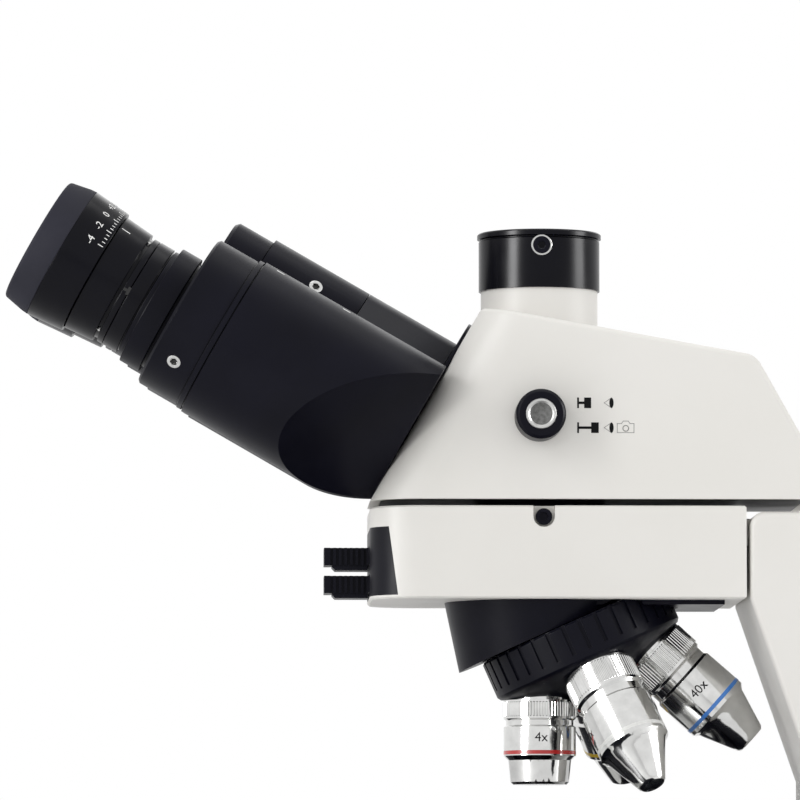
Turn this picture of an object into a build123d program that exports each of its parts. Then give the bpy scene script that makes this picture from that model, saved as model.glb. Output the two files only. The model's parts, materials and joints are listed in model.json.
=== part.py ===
from build123d import *
from math import cos, radians, sin, tan
import os

# Trinocular microscope: folding eyepiece head with a photo port, on a full stand.
# Millimetres, +Z up, eyepieces towards -X, the user's right hand at -Y.
# The origin is where the optical axis meets the table.

# Clearances and seams
seat_gap = 0.3
fit_gap = 0.05
seam_gap = 2.2
joint_gap = 1.2

# Levels of the stand
foot_height = 4.0
deck_z = 60.0
seam_z = 310.0
parfocal = 45.0
slide_thickness = 1.2
beam_radius = 7.0

# Head housing, seen from the side
body_half_width = 35.0
body_front = 57.0
tube_tilt = 30.0
head_height = 65.0
roof_slope = 10.2
shoulder_x = 70.0
head_rear = 89.5
tail_height = 14.0
head_wall = 3.0
corner_radius = 15.0
edge_radius = 2.0
shoulder_radius = 7.0
dovetail_radius = 24.0
dovetail_depth = 6.0

# Photo port
neck_radius = 19.5
neck_top = 72.4
neck_bore = 16.5
collar_radius = 20.2
collar_height = 17.2
lip_radius = 20.7
lip_height = 2.2
port_bore = 19.0
port_screw_drop = 5.4
screw_radius = 2.3
screw_ring_radius = 3.4

# Beam splitter and its rod
rod_height = 28.0
rod_x = -1.6
rod_radius = 3.0
rod_travel = 12.0
knob_radius = 8.2
knob_length = 15.0
knob_ring_radius = 5.2
prism_size = 24.0
guide_rail_width = 4.0

# Central hinge of the eyepiece tubes, along the inclined axis
hinge_height = 39.4
hinge_radius = 17.0
hinge_shaft_radius = 11.0
flange_radius = 25.0
flange_thickness = 1.2
knuckle_length = 33.1
front_boss = 2.9
dial_radius = 15.8
dial_length = 14.0

# Eyepiece tubes
eyepiece_offset = 40.0
right_swing = 38.5
left_swing = 32.0
tube_radius = 28.2
tube_length = 66.8
tube_shift_out = 1.6
tube_shift_up = 4.4
tube_wall = 4.0
chamber_radius = 17.0
relief_inset = 3.0
relief_slope = 1.15
band_width = 1.6
band_groove = 0.5
cap_radius = 27.0
cap_length = 14.7
cap_screw_back = 8.0
knuckle_screw_back = 19.6

# Eyepieces
sleeve_radius = 19.1
sleeve_length = 10.6
sleeve_ring_radius = 21.1
sleeve_ring_length = 7.3
insert_radius = 15.0
insert_length = 30.0
insert_wall = 1.5
lower_ring_radius = 19.3
lower_ring_length = 8.0
waist_radius = 18.4
waist_length = 1.3
lower_barrel_radius = 20.8
lower_barrel_length = 10.0
diopter_radius = 23.1
diopter_length = 12.6
diopter_neck_radius = 17.0
diopter_neck_length = 8.0
eyecup_radius = 21.5
eyecup_length = 9.5
eyecup_bore = 16.5
eye_lens_radius = 14.0
lens_thickness = 4.0

# Block under the head, with its two sliders
block_height = 30.6
block_rear = 66.6
panel_drop = 6.8
panel_depth = 6.0
panel_slant = 3.0
panel_foot = 1.2
notch_width = 7.1
notch_depth = 4.0
lock_screw_radius = 2.7
slider_width = 27.0
slider_thickness = 5.8
upper_slider_drop = 12.5
slider_pitch = 9.3
slider_travel = 32.0
beam_clearance = 5.0
slider_window = 10.0
disc_thickness = 2.0
grip_width = 14.0
grip_length = 14.6
ledge_depth = 1.6
ledge_inset = 2.6
rib_pitch = 1.85
rib_depth = 0.9

# Revolving nosepiece
turret_tilt = 24.0
nose_drop = 64.0
turret_radius = 33.0
turret_rim = 13.4
seat_radius = 20.5
pivot_radius = 3.2
pivot_cap_radius = 7.0
nose_radius = 31.7
nose_taper = 12.0
nose_plate_rear = 60.0
nose_plate_thickness = 1.5
thread_radius = 10.1
thread_length = 4.5
turret_flutes = 36
flute_depth = 0.7
objective_radius = 12.0
working_4x = 17.0
working_10x = 7.0
working_40x = 0.6
working_100x = 0.2
tip_4x = 9.0
tip_10x = 7.0
tip_40x = 5.0
tip_100x = 4.0

# Arm
arm_front = 88.0
arm_depth = 62.0
arm_top_drop = 3.0
arm_recede = 19.0
arm_wall = 5.0
arm_corner = 28.0
arm_nose_radius = 5.0
boss_half_width = 26.0
boss_height = 9.0

# Base
base_half_width = 95.0
base_front = 95.0
base_front_taper = 23.0
base_rear_taper = 29.0
base_taper_length = 50.0
base_corner = 24.0
base_slope_drop = 14.0
base_wall = 4.0
base_roof = 5.0
base_edge = 6.0
plate_thickness = 2.0
foot_radius = 10.0
lamp_radius = 25.0
lamp_height = 24.0
field_lens_radius = 17.0

# Focus drive
focus_axis_x = 114.0
focus_axis_z = 110.0
coarse_radius = 26.0
coarse_width = 20.0
coarse_shaft_radius = 9.0
fine_radius = 16.0
fine_width = 14.0
fine_shaft_radius = 5.5
rail_half_width = 15.0
rail_thickness = 6.0
rail_height = 95.0

# Stage
stage_thickness = 9.0
stage_floor = 8.0
stage_corner = 8.0
stage_half_width = 88.0
stage_front = 70.0
stage_rear = 56.0
stage_travel = 22.0
condenser_window = 18.0
bracket_half_width = 26.0
bracket_depth = 11.7
bracket_drop = 68.0
floor_half_width = 50.0
floor_front = 45.0
slide_length = 76.0
slide_width = 26.0
holder_thickness = 2.6
holder_bar = 10.0
finger_width = 5.0
guide_x = 44.0
guide_width = 6.0
guide_height = 5.0
stage_knob_x = 18.0
stage_knob_y = 72.0
stage_shaft_radius = 4.0
upper_knob_radius = 14.0
lower_knob_radius = 11.0
stage_knob_width = 12.0

# Condenser
condenser_radius = 20.0
condenser_height = 18.0
condenser_tip_radius = 12.5
condenser_flange = 2.4
carrier_wall = 6.0
carrier_height = 13.0
iris_neck_radius = 14.0
iris_ring_width = 4.0
iris_ring_height = 5.0
iris_handle_length = 18.0
condenser_rail_half = 10.0
condenser_rail_depth = 8.0
condenser_knob_radius = 9.0
condenser_knob_width = 13.0

# Electrical fittings in the base
control_z = 32.0
light_knob_x = 30.0
light_knob_radius = 11.0
light_knob_width = 8.0
switch_y = 30.0
switch_width = 13.0
switch_height = 20.0
switch_depth = 8.0
inlet_width = 27.0
inlet_height = 20.0
inlet_depth = 16.0

# Levels worked out from the sizes above
head_z = seam_z + seam_gap / 2
arm_half_width = body_half_width
base_front_half = base_half_width - base_front_taper
base_rear_half = base_half_width - base_rear_taper
slider_reach = slider_travel - beam_radius - beam_clearance
block_top = seam_z - seam_gap / 2
block_z = block_top - block_height
collar_z = seam_z + neck_top
shoulder_z = seam_z - nose_drop
specimen_z = shoulder_z - parfocal
stage_z = specimen_z - slide_thickness
plate_z = stage_z - stage_thickness
floor_top = plate_z - seat_gap
floor_z = floor_top - stage_floor
bracket_z = floor_top - bracket_drop
arm_top = seam_z - arm_top_drop
arm_rear = arm_front + arm_depth
rail_front = arm_front - rail_thickness
bracket_rear = rail_front - seat_gap
bracket_front = bracket_rear - bracket_depth
condenser_rail_x = bracket_front - condenser_rail_depth
flange_top = floor_z - seat_gap
carrier_top = flange_top - condenser_flange
carrier_z = carrier_top - carrier_height
condenser_z = carrier_top - condenser_height

# Inclined frame of the tubes: x to the user's right, y up the head's face, z outward
lean = radians(tube_tilt)
hinge_x = -body_front + (hinge_height - seam_gap / 2) * tan(lean)
hinge_frame = Location(Plane(
    origin=(hinge_x, 0, seam_z + hinge_height),
    x_dir=(0, -1, 0),
    z_dir=(-cos(lean), 0, sin(lean)),
))

# Stations along the tubes, counted outward from the head's front face
rear_start = flange_thickness + seat_gap
front_start = rear_start + knuckle_length + seat_gap
dial_start = front_start + knuckle_length + front_boss + seat_gap
tube_end = rear_start + tube_length
cap_start = tube_end + band_width + 2 * band_groove
cap_end = cap_start + cap_length
sleeve_end = cap_end + sleeve_length
ring_end = sleeve_end + lower_ring_length
waist_end = ring_end + waist_length
barrel_end = waist_end + lower_barrel_length
diopter_start = barrel_end + seat_gap
diopter_end = diopter_start + diopter_length
eyecup_end = diopter_end + eyecup_length

# The base reaches as far behind the optical axis as the right eyecup does in front of it
right_drop = eyepiece_offset * sin(radians(right_swing))
eyecup_front = -hinge_x + eyecup_end * cos(lean) + (right_drop + eyecup_radius) * sin(lean)
base_rear = eyecup_front

# Tilted frame of the turret: x towards the working objective, z down the turret's own axis
tilt = radians(turret_tilt)
turret_frame = Location(Plane(
    origin=(seat_radius * cos(tilt), 0, shoulder_z + seat_radius * sin(tilt)),
    x_dir=(-cos(tilt), 0, -sin(tilt)),
    z_dir=(sin(tilt), 0, -cos(tilt)),
))
rim_low = -(turret_radius - seat_radius) * tan(tilt)
rim_high = rim_low - turret_rim


def column(radius, low, high, x=0.0, y=0.0):
    """Round bar along the local z axis between two stations."""
    return Pos(x, y, (low + high) / 2) * Cylinder(radius, high - low)


def block(x0, x1, y0, y1, z0, z1):
    """Box between three pairs of faces."""
    return Pos((x0 + x1) / 2, (y0 + y1) / 2, (z0 + z1) / 2) * Box(x1 - x0, y1 - y0, z1 - z0)


def spun(points):
    """Solid turned about the local z axis from an outline of (radius, z) points."""
    outline = make_face(Polyline([(r, 0, z) for r, z in points], close=True))
    return revolve(outline, Axis.Z)


def tube(outer, inner, low, high):
    """Hollow round between two stations of the local z axis."""
    return spun([(inner, low), (outer, low), (outer, high), (inner, high)])


def side_plate(points, half_width):
    """Plate cut to an outline of (x, z) points, centred on the plane of symmetry."""
    outline = make_face(Polyline([(x, 0, z) for x, z in points], close=True))
    return extrude(outline, half_width, dir=(0, 1, 0), both=True)


def group(*parts):
    """Separate solids that belong to one sub-part."""
    return Compound([solid for part in parts for solid in part.solids()])


def outward(x, y, z, side=-1):
    """Frame at a point of a side face, with z pointing out of it: side -1 is the user's right."""
    return Location(Plane(origin=(x, y, z), x_dir=(1, 0, 0), z_dir=(0, side, 0)))


# Frame of the beam splitter's rod, z out of the head on the user's right
splitter_frame = outward(rod_x, -body_half_width, seam_z + rod_height)


# Head

def head_outline(inset):
    """Side outline of the head, moved inwards by the inset but carried below by as much."""
    low = head_z - inset
    top_z = seam_z + head_height - inset
    front_x = -body_front + inset / cos(lean)
    front_low = front_x - inset * tan(lean)
    front_top = front_x + (top_z - head_z) * tan(lean)
    roof_end = shoulder_x - 0.6 * inset
    tail_x = head_rear - inset
    return [
        (front_low, low),
        (front_top, top_z),
        (roof_end, top_z - (roof_end - front_top) * tan(radians(roof_slope))),
        (tail_x, seam_z + tail_height - 0.4 * inset),
        (tail_x, low),
    ]


def head_wedge(inset):
    """Wedge of the head with rounded front corners and a rounded shoulder."""
    outline = head_outline(inset)
    wedge = side_plate(outline, body_half_width - inset)
    across = wedge.edges().filter_by(Axis.Y)
    back = [e for e in across if e.center().X > 0 and e.center().Z > seam_z + tail_height / 2]
    wedge = fillet(back, shoulder_radius - inset)
    rise = Vector(sin(lean), 0, cos(lean))
    front = [e for e in wedge.edges() if abs(e.tangent_at(0.5).dot(rise)) > 0.9999]
    return fillet(front, corner_radius - inset)


def head_housing():
    """White casting: wedge, roof edges eased, neck on top, cavity and holes inside."""
    shell = head_wedge(0)
    roof = [e for e in shell.edges() if e.bounding_box().min.Z > head_z + edge_radius]
    rear = shell.edges().filter_by(Axis.Z).group_by(Axis.X)[-1]
    shell = fillet([*roof, *rear], edge_radius)
    shell = shell + column(neck_radius, seam_z + head_height / 2, collar_z)
    shell = shell - head_wedge(head_wall) - column(neck_bore, head_z, collar_z)
    shell = shell - hinge_frame * column(hinge_shaft_radius + fit_gap, -3 * head_wall, head_wall)
    return shell - splitter_frame * column(rod_radius + fit_gap, -2 * head_wall, head_wall)


def head_base_plate():
    """Floor of the head, with the round dovetail below and the splitter's rails above."""
    low = head_z
    high = low + head_wall
    plate = head_wedge(head_wall + fit_gap)
    plate = plate & block(-body_front, head_rear, -body_half_width, body_half_width, low, high)
    dovetail = spun([
        (0, low - dovetail_depth),
        (dovetail_radius, low - dovetail_depth),
        (dovetail_radius - dovetail_depth / 3, low),
        (0, low),
    ])
    plate = plate + dovetail
    rail_top = seam_z + rod_height - prism_size / 2
    outer = prism_size / 2
    for side in (-1, 1):
        inner = side * (outer - guide_rail_width)
        plate = plate + block(
            min(inner, side * outer), max(inner, side * outer),
            -outer - rod_travel, outer, low, rail_top,
        )
    return plate - column(beam_radius, low - dovetail_depth, rail_top)


def port_collar():
    """Black collar on the neck, bored for a camera adapter, with a lip round its mouth."""
    groove = collar_z + collar_height
    high = groove + lip_height
    ring = spun([
        (neck_bore, collar_z),
        (collar_radius, collar_z),
        (collar_radius, groove - 0.6),
        (collar_radius - 0.7, groove - 0.3),
        (collar_radius - 0.7, groove),
        (lip_radius, groove + 0.3),
        (lip_radius, high - 0.5),
        (lip_radius - 0.5, high),
        (port_bore, high),
        (port_bore, collar_z + head_wall),
        (neck_bore, collar_z + head_wall),
    ])
    screw = outward(0, -port_bore, high - port_screw_drop)
    return ring - screw * column(screw_ring_radius, -head_wall, head_wall)


def hex_screw(radius, length):
    """Headless screw along z, its outer end at z = 0, with a hexagon socket there."""
    socket = extrude(RegularPolygon(radius * 0.6, 6), -radius / 2)
    return column(radius, -length, 0) - socket


def port_lock_screw():
    """Clamp screw of the photo port inside its bright ring."""
    screw_z = collar_z + collar_height + lip_height - port_screw_drop
    length = collar_radius - port_bore
    ring = tube(screw_ring_radius, screw_radius, -length, 0)
    return outward(0, -collar_radius, screw_z) * group(ring, hex_screw(screw_radius, length - fit_gap))


def hinge_shaft():
    """Hollow shaft that both tubes swing on, with its flange on the head's face."""
    flange = tube(flange_radius, beam_radius, 0, flange_thickness)
    shaft = tube(hinge_shaft_radius, beam_radius, -head_wall, dial_start + dial_length / 2)
    return hinge_frame * (flange + shaft)


def ipd_dial():
    """Fixed cap on the front of the hinge, the place of the eye distance scale."""
    end = dial_start + dial_length
    cap = spun([
        (0, dial_start),
        (dial_radius, dial_start),
        (dial_radius, end - 1.2),
        (dial_radius - 1.2, end),
        (0, end),
    ])
    return hinge_frame * (cap - column(hinge_shaft_radius, dial_start, dial_start + dial_length / 2))


def deflecting_prism():
    """Glass wedge behind the head's face that turns the beam into the hinge."""
    half = prism_size / 2
    near = -head_wall
    outline = make_face(Polyline(
        [(0, -half, near), (0, half, near), (0, -half, near - prism_size)], close=True
    ))
    return hinge_frame * extrude(outline, half, dir=(1, 0, 0), both=True)


def relay_lens():
    """Domed lens at the foot of the photo port."""
    low = collar_z - head_wall
    lens = column(neck_bore, low, low + lens_thickness)
    return fillet(lens.edges().group_by(Axis.Z)[-1], lens_thickness / 3)


# Beam splitter

def splitter_rod():
    """Round rod from the prism carrier to the knob."""
    return splitter_frame * column(rod_radius, prism_size / 2 - body_half_width, seat_gap + knob_length / 2)


def splitter_knob():
    """Black push knob with a raised ring round a dished end."""
    start = seat_gap
    end = start + knob_length
    knob = spun([
        (0, start),
        (knob_radius - 0.8, start),
        (knob_radius, start + 0.8),
        (knob_radius, end - 1.0),
        (knob_radius - 1.0, end),
        (knob_ring_radius, end),
        (knob_ring_radius - 1.5, end - 0.8),
        (0, end - 0.8),
    ])
    return splitter_frame * (knob - column(rod_radius, start, seat_gap + knob_length / 2))


def splitter_prism():
    """Glass cube that rests on the head's two rails."""
    half = prism_size / 2
    middle = seam_z + rod_height
    cube = block(-half, half, -half, half, middle - half, middle + half)
    return chamfer(cube.edges().filter_by(Axis.Y), half / 12)


# Eyepiece tubes: side is 1 for the user's right and -1 for the left

def arm_frame(side):
    """Frame of one arm, swung down about the hinge from level."""
    swing = right_swing if side > 0 else left_swing
    return hinge_frame * Rot(0, 0, -side * swing)


def eyepiece_frame(side):
    """Frame along the eyepiece's own axis."""
    return arm_frame(side) * Pos(side * eyepiece_offset, 0, 0)


def cap_frame(side):
    """Frame along the middle of the tube housing, which sits proud of the eyepiece's axis."""
    return arm_frame(side) * Pos(side * (eyepiece_offset + tube_shift_out), tube_shift_up, 0)


def relief_wedge(side):
    """What the sloping cut takes off the outer half of the tube near the head."""
    start = side * (eyepiece_offset + tube_shift_out - relief_inset)
    reach = start + side * (relief_inset + tube_radius + 1)
    outline = make_face(Polyline([
        (start, 0, 0), (reach, 0, 0), (reach, 0, relief_slope * abs(reach - start)),
    ], close=True))
    return extrude(outline, 2 * tube_radius, dir=(0, 1, 0), both=True)


def tube_housing(side):
    """Round housing and its knuckle: the right arm has the rear knuckle, the left the front one."""
    own = rear_start if side > 0 else front_start
    own_length = knuckle_length if side > 0 else knuckle_length + front_boss
    other = front_start - seat_gap if side > 0 else rear_start - flange_thickness
    other_end = dial_start + dial_length if side > 0 else front_start
    middle = (side * (eyepiece_offset + tube_shift_out), tube_shift_up)
    housing = Pos(*middle, seat_gap) * extrude(Circle(tube_radius), tube_end - seat_gap)
    circles = [Circle(hinge_radius), Pos(*middle) * Circle(hinge_radius)]
    slab = make_hull([edge for circle in circles for edge in circle.edges()])
    body = housing + Pos(0, 0, own) * extrude(slab, knuckle_length)
    if side < 0:
        body = body + column(hinge_radius, own, own + own_length)
    body = body - column(hinge_radius + 2 * seat_gap, other, other_end)
    body = body - column(hinge_shaft_radius + fit_gap, 0, dial_start)
    body = body - column(flange_radius + seat_gap, 0, rear_start)
    body = body - relief_wedge(side)
    start = relief_slope * (relief_inset + chamber_radius + tube_wall)
    body = body - column(chamber_radius, start, tube_end, side * eyepiece_offset)
    if side < 0:
        screw = knuckle_screw_frame()
        body = body - screw * column(screw_radius, -hinge_radius, screw_radius)
    return arm_frame(side) * body


def knuckle_screw_frame():
    """Frame of the grub screw in the front knuckle, z out of the hinge barrel."""
    station = front_start + knuckle_length + front_boss - knuckle_screw_back
    return Location(Plane(origin=(hinge_radius, 0, station), x_dir=(0, 1, 0), z_dir=(1, 0, 0)))


def cap_screw_frame(side):
    """Frame of the grub screw in the tube's cap, z out of its side."""
    station = cap_end - cap_screw_back
    return Location(Plane(origin=(side * cap_radius, 0, station), x_dir=(0, 1, 0), z_dir=(side, 0, 0)))


def tube_cap(side):
    """Stepped cap on the housing: a band between two grooves, then the collar with its screw hole."""
    groove = tube_radius - 1.5
    cap = spun([
        (0, tube_end),
        (groove, tube_end),
        (groove, tube_end + band_groove),
        (tube_radius - 0.4, tube_end + band_groove),
        (tube_radius - 0.4, cap_start - band_groove),
        (groove, cap_start - band_groove),
        (groove, cap_start),
        (cap_radius, cap_start),
        (cap_radius, cap_end - 0.8),
        (cap_radius - 0.8, cap_end),
        (0, cap_end),
    ])
    cap = cap - column(chamber_radius, tube_end, cap_end, -side * tube_shift_out, -tube_shift_up)
    hinge = (-side * (eyepiece_offset + tube_shift_out), -tube_shift_up)
    cap = cap - column(hinge_radius + 2 * seat_gap, tube_end, cap_end, *hinge)
    cap = cap - cap_screw_frame(side) * column(screw_radius, -2 * screw_radius, screw_radius)
    return cap_frame(side) * cap


def grub_screws(side):
    """Small headless screws: both arms have one in the cap, and the left one in its knuckle."""
    cap_screw = cap_frame(side) * cap_screw_frame(side) * hex_screw(screw_radius, 2 * screw_radius)
    if side > 0:
        return cap_screw
    depth = hinge_radius - hinge_shaft_radius - seat_gap
    return group(cap_screw, arm_frame(side) * knuckle_screw_frame() * hex_screw(screw_radius, depth))


def eyepiece_sleeve(side):
    """Socket for the eyepiece, with a flange ring and a spigot inside the cap."""
    bore = insert_radius + fit_gap
    land = (sleeve_length - sleeve_ring_length) / 2
    return eyepiece_frame(side) * spun([
        (bore, tube_end),
        (chamber_radius, tube_end),
        (chamber_radius, cap_end),
        (sleeve_radius, cap_end),
        (sleeve_radius, cap_end + land),
        (sleeve_ring_radius, cap_end + land),
        (sleeve_ring_radius, sleeve_end - land),
        (sleeve_radius, sleeve_end - land),
        (sleeve_radius, sleeve_end),
        (bore, sleeve_end),
    ])


def eyepiece_barrel(side):
    """Lower body of the eyepiece: insert tube, two rings, waist, flared barrel and diopter neck."""
    inner = insert_radius - insert_wall
    split = ring_end - lower_ring_length / 4
    return eyepiece_frame(side) * spun([
        (inner, sleeve_end - insert_length),
        (insert_radius, sleeve_end - insert_length),
        (insert_radius, sleeve_end),
        (waist_radius, sleeve_end),
        (waist_radius, sleeve_end + 0.6),
        (lower_ring_radius, sleeve_end + 0.6),
        (lower_ring_radius, split - 0.3),
        (waist_radius, split - 0.3),
        (waist_radius, split),
        (lower_ring_radius, split),
        (lower_ring_radius, ring_end),
        (waist_radius, ring_end),
        (waist_radius, waist_end),
        (lower_barrel_radius - 0.8, waist_end),
        (lower_barrel_radius, barrel_end),
        (diopter_neck_radius, barrel_end),
        (diopter_neck_radius, barrel_end + diopter_neck_length),
        (inner, barrel_end + diopter_neck_length),
    ])


def diopter_ring(side):
    """Flared upper barrel that turns on the neck and carries the eye lens."""
    bore = diopter_neck_radius + fit_gap
    step = barrel_end + diopter_neck_length + seat_gap
    return eyepiece_frame(side) * spun([
        (bore, diopter_start),
        (diopter_radius - 1.1, diopter_start),
        (diopter_radius, diopter_end),
        (eye_lens_radius, diopter_end),
        (eye_lens_radius, diopter_end - lens_thickness),
        (eye_lens_radius - 1.5, diopter_end - lens_thickness),
        (eye_lens_radius - 1.5, step),
        (bore, step),
    ])


def eyecup(side):
    """Rubber cup on the diopter ring, rounded at its lip."""
    cup = spun([
        (eye_lens_radius, diopter_end),
        (diopter_radius, diopter_end),
        (diopter_radius - 0.2, diopter_end + eyecup_length / 4),
        (eyecup_radius, eyecup_end),
        (eyecup_bore, eyecup_end),
    ])
    lip = cup.edges().filter_by(GeomType.CIRCLE).group_by(Axis.Z)[-1]
    return eyepiece_frame(side) * fillet(lip, (eyecup_radius - eyecup_bore) / 4)


def eye_lens(side):
    """Domed lens seated in the diopter ring."""
    lens = column(eye_lens_radius, diopter_end - lens_thickness, diopter_end)
    return eyepiece_frame(side) * fillet(lens.edges().group_by(Axis.Z)[-1], lens_thickness / 4)


# Block under the head

def slider_level(index):
    """Top of a slider: 0 is the upper one."""
    return block_top - upper_slider_drop - index * slider_pitch


def block_form():
    """Outer form of the block with its rounded front corners."""
    form = block(-body_front, block_rear, -body_half_width, body_half_width, block_z, block_top)
    corners = form.edges().filter_by(Axis.Z).sort_by(Axis.X)[:2]
    form = fillet(corners, corner_radius)
    rims = form.edges().group_by(Axis.Z)[0] + form.edges().group_by(Axis.Z)[-1]
    return chamfer(rims, 0.6)


def slots():
    """Room for both sliders."""
    half = slider_width / 2 + seat_gap
    rooms = []
    for index in range(2):
        top = slider_level(index)
        low = top - slider_thickness
        rooms.append(block(
            -body_front - 1, slider_reach + seat_gap, -half, half, low - seat_gap, top + seat_gap
        ))
    return rooms


def panel_zone():
    """Front of the block that the black panel takes up, wider at its foot."""
    low = block_z + panel_foot
    high = block_top - panel_drop
    front = -body_front - 1
    edge = -body_front + panel_depth
    outline = [(front, low), (front, high), (edge, high), (edge + panel_slant, low)]
    return side_plate(outline, body_half_width + 1)


def lock_frame():
    """Frame of the screw that locks the head, z out of the block's right side."""
    return outward(0, -body_half_width, block_top - notch_width / 2)


def nosepiece_block():
    """White block: dovetail seat, beam hole, slots, lock screw notch and the turret's pocket."""
    body = block_form() - panel_zone()
    seat = head_z - dovetail_depth
    body = body - column(dovetail_radius + seat_gap, seat, block_top)
    body = body - column(beam_radius, block_z, block_top)
    for room in slots():
        body = body - room
    notch = column(notch_width / 2, -notch_depth, 1)
    above = block(-notch_width / 2, notch_width / 2, 0, notch_width, -notch_depth, 1)
    body = body - lock_frame() * (notch + above)
    body = body - lock_frame() * column(lock_screw_radius, dovetail_radius - body_half_width, 0)
    return body - turret_pocket()


def turret_pocket():
    """Room that the turret's raised rim turns in."""
    return turret_frame * column(turret_radius + joint_gap, rim_high - joint_gap, 0)


def head_lock_screw():
    """Socket screw in the notch that bears on the head's dovetail."""
    length = body_half_width - dovetail_radius - seat_gap - notch_depth / 2
    return lock_frame() * Pos(0, 0, -notch_depth / 2) * hex_screw(lock_screw_radius, length)


def front_panel():
    """Black panel round the front of the block, pierced by the two slots."""
    panel = block_form() & panel_zone()
    for room in slots():
        panel = panel - room
    return panel


def slider(index):
    """Filter slider: plate with a round window and its disc, and a ribbed grip outside."""
    top = slider_level(index)
    low = top - slider_thickness
    half = slider_width / 2
    grip_half = grip_width / 2
    grip_end = -body_front - seat_gap
    start = grip_end - grip_length
    plate = block(grip_end, slider_reach, -half, half, low, top)
    plate = plate - column(slider_window, low, top)
    grip = block(start, grip_end, -grip_half, grip_half, low, top)
    for rib in range(int(grip_length / rib_pitch)):
        x = grip_end - (rib + 0.5) * rib_pitch
        for side in (-1, 1):
            face = side * grip_half
            bottom = face - side * rib_depth
            grip = grip - block(
                x - rib_pitch / 4, x + rib_pitch / 4,
                min(face, bottom), max(face, bottom), low, top,
            )
    ledge_half = grip_half - rib_depth
    ledge = block(start + ledge_inset, grip_end, -ledge_half, ledge_half, low - ledge_depth, low)
    foot = ledge.edges().filter_by(Axis.Y).group_by(Axis.Z)[0].sort_by(Axis.X)[0]
    ledge = chamfer(foot, ledge_depth * 2 / 3)
    middle = (low + top) / 2
    disc = column(slider_window, middle - disc_thickness / 2, middle + disc_thickness / 2)
    return group(plate + grip + ledge, disc)


# Revolving nosepiece

def nosepiece_base():
    """Black fixed part: tapered body cut to the turret's tilt, its slide plate, pivot and cap."""
    depth = nose_drop - (seam_z - block_z)
    low_radius = nose_radius - depth * tan(radians(nose_taper))
    body = spun([
        (0, block_z),
        (nose_radius, block_z),
        (low_radius, block_z - depth),
        (0, block_z - depth),
    ])
    face = rim_high - seat_gap
    keep = column(turret_radius + 9, face - 4 * turret_radius, face)
    body = body & (turret_frame * keep)
    plate_low = block_z - nose_plate_thickness
    plate = block(0, nose_plate_rear, -boss_half_width, boss_half_width, plate_low, block_z)
    body = body + (plate - turret_pocket())
    tip = cone_z(pivot_cap_radius)
    pivot = column(pivot_radius, face - 1, tip + seat_gap)
    cap = column(pivot_cap_radius, tip + seat_gap, tip + seat_gap + 2)
    body = body + turret_frame * (pivot + cap)
    return body - column(beam_radius, shoulder_z, block_z)


def cone_z(radius):
    """Height of the turret's seating cone at a radius, in the turret's frame."""
    return (seat_radius - radius) * tan(tilt)


def objective_frame(index):
    """Frame of one objective's seat, z along the objective."""
    return turret_frame * Rot(0, 0, 90 * index) * Pos(seat_radius, 0, 0) * Rot(0, turret_tilt, 0)


def turret():
    """Knurled revolving disc with a seating cone and four threaded seats."""
    rim = turret_radius
    flat = pivot_cap_radius + 1
    disc = spun([
        (pivot_radius + fit_gap, rim_high),
        (rim - 0.8, rim_high),
        (rim, rim_high + 0.8),
        (rim, cone_z(rim) - 0.8),
        (rim - 0.8, cone_z(rim - 0.8)),
        (flat, cone_z(flat)),
        (pivot_radius + fit_gap, cone_z(flat)),
    ])
    for flute in PolarLocations(rim, turret_flutes):
        cut = block(-flute_depth, flute_depth, -flute_depth, flute_depth, rim_high, rim_low - 3)
        disc = disc - flute * cut
    disc = turret_frame * disc
    for index in range(4):
        place = objective_frame(index)
        disc = disc - place * column(beam_radius, -3 * turret_rim, thread_length)
        disc = disc - place * column(thread_radius, -thread_length, thread_length)
    return disc


def objective(index, length, tip_radius):
    """Objective on its seat: thread, knurled shoulder, barrel with a waist, and the conical nose."""
    wide = objective_radius
    nose = 0.66 * length
    profile = [
        (0, -thread_length),
        (thread_radius, -thread_length),
        (thread_radius, 0),
        (wide, 0),
        (wide, 0.22 * length),
        (wide - 0.8, 0.24 * length),
        (wide - 0.8, 0.3 * length),
        (wide, 0.32 * length),
        (wide, nose),
        (wide - 1.5, nose + 1.5),
        (tip_radius + 0.8, length - 0.8),
        (tip_radius, length),
        (0, length),
    ]
    return objective_frame(index) * spun(profile)


# Arm and base

def arm_outline(inset, bottom):
    """Side outline of the arm, moved inwards by the inset and open at the bottom."""
    nose = block_rear + joint_gap + inset
    front = arm_front + inset
    recess = block_z - (arm_front - block_rear - joint_gap) / tan(radians(arm_recede))
    return [
        (nose, arm_top - inset),
        (nose, block_z),
        (front, recess),
        (front, bottom),
        (arm_rear - inset, bottom),
        (arm_rear - inset, arm_top - inset),
    ]


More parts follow.
